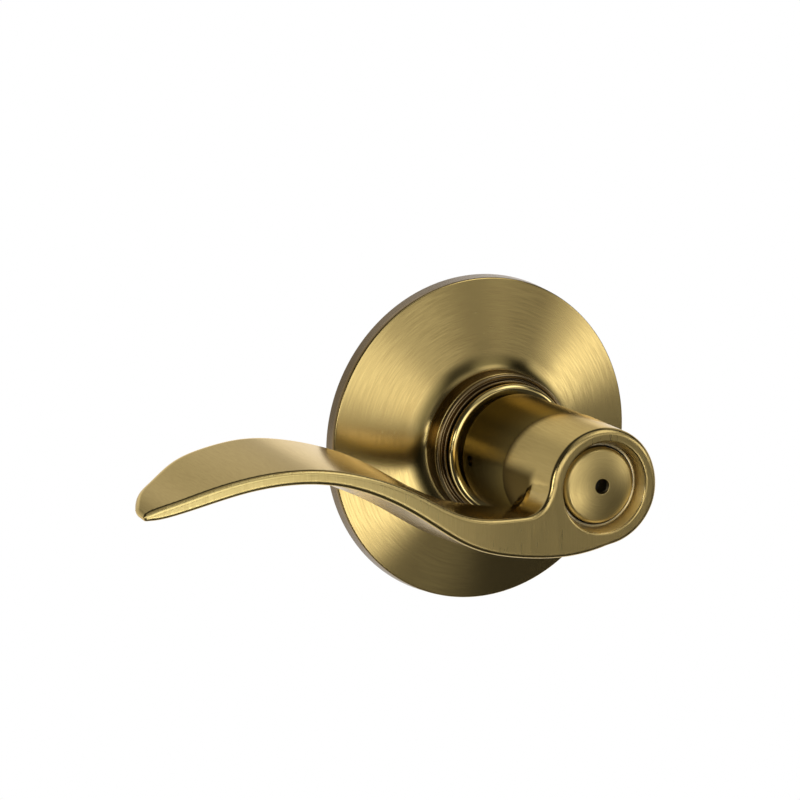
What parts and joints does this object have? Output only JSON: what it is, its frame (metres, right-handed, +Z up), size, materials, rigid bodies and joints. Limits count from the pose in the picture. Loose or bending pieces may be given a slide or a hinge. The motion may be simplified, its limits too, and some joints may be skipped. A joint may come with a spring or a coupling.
{
  "type": "door lever handle",
  "caption": "Antique-brass door lever: a wave-shaped blade on a sprung hub, a flared round rose, and the spindle, posts and release pin that go into the door.",
  "frame": {"origin": "where the lever's turning axis meets the door's face, at the middle of the rose's back", "axes": "+Y into the door along the turning axis, +Z up, the blade towards -X and the lever out towards -Y"},
  "size_m": [0.127, 0.1023, 0.0654],
  "materials": {
    "antique_brass": "antique brass, brushed and lacquered",
    "aged_brass": "darkened brass, fine turned",
    "polished_brass": "polished brass",
    "zinc_steel": "zinc-plated steel",
    "spring_steel": "oil-tempered spring steel",
    "sintered_steel": "sintered iron, oiled",
    "nylon": "natural nylon"
  },
  "bodies": {
    "door_side": {"rose": "antique_brass", "rose_collar": "aged_brass", "neck_bushing": "polished_brass", "rose_liner": "nylon", "bearing_sleeve": "sintered_steel", "mounting_plate": "zinc_steel", "spring_cage": "zinc_steel", "post_left": "zinc_steel", "post_right": "zinc_steel", "return_spring": "spring_steel"},
    "lever_side": {"lever": "antique_brass", "face_cap": "antique_brass", "cap_ring": "spring_steel", "spindle_tube": "zinc_steel", "drive_spindle": "zinc_steel", "spring_driver": "zinc_steel", "thrust_washer": "nylon", "wave_washer": "spring_steel", "retaining_ring": "spring_steel", "pin_guide": "nylon", "pin_spring": "spring_steel", "catch_spring": "spring_steel"},
    "catch": {"lever_catch": "polished_brass"},
    "release": {"release_pin": "zinc_steel"}
  },
  "joints": [
    {"name": "lever_turn", "type": "hinge", "parent": "door_side", "child": "lever_side", "pos_m": [0, 0, 0], "axis": [0, -1, 0], "range_deg": [-50, 50], "stiffness_Nm_per_rad": 1.2, "springref_deg": -1.75, "deforming": ["return_spring"]},
    {"name": "catch_press", "type": "slide", "parent": "lever_side", "child": "catch", "axis": [1, 0, 0], "range_m": [0, 0.0015], "stiffness_N_per_m": 1200, "springref_m": -0.0008, "deforming": ["catch_spring"]},
    {"name": "release_push", "type": "slide", "parent": "lever_side", "child": "release", "axis": [0, 1, 0], "range_m": [0, 0.004], "stiffness_N_per_m": 500, "springref_m": -0.001, "deforming": ["pin_spring"]}
  ]
}
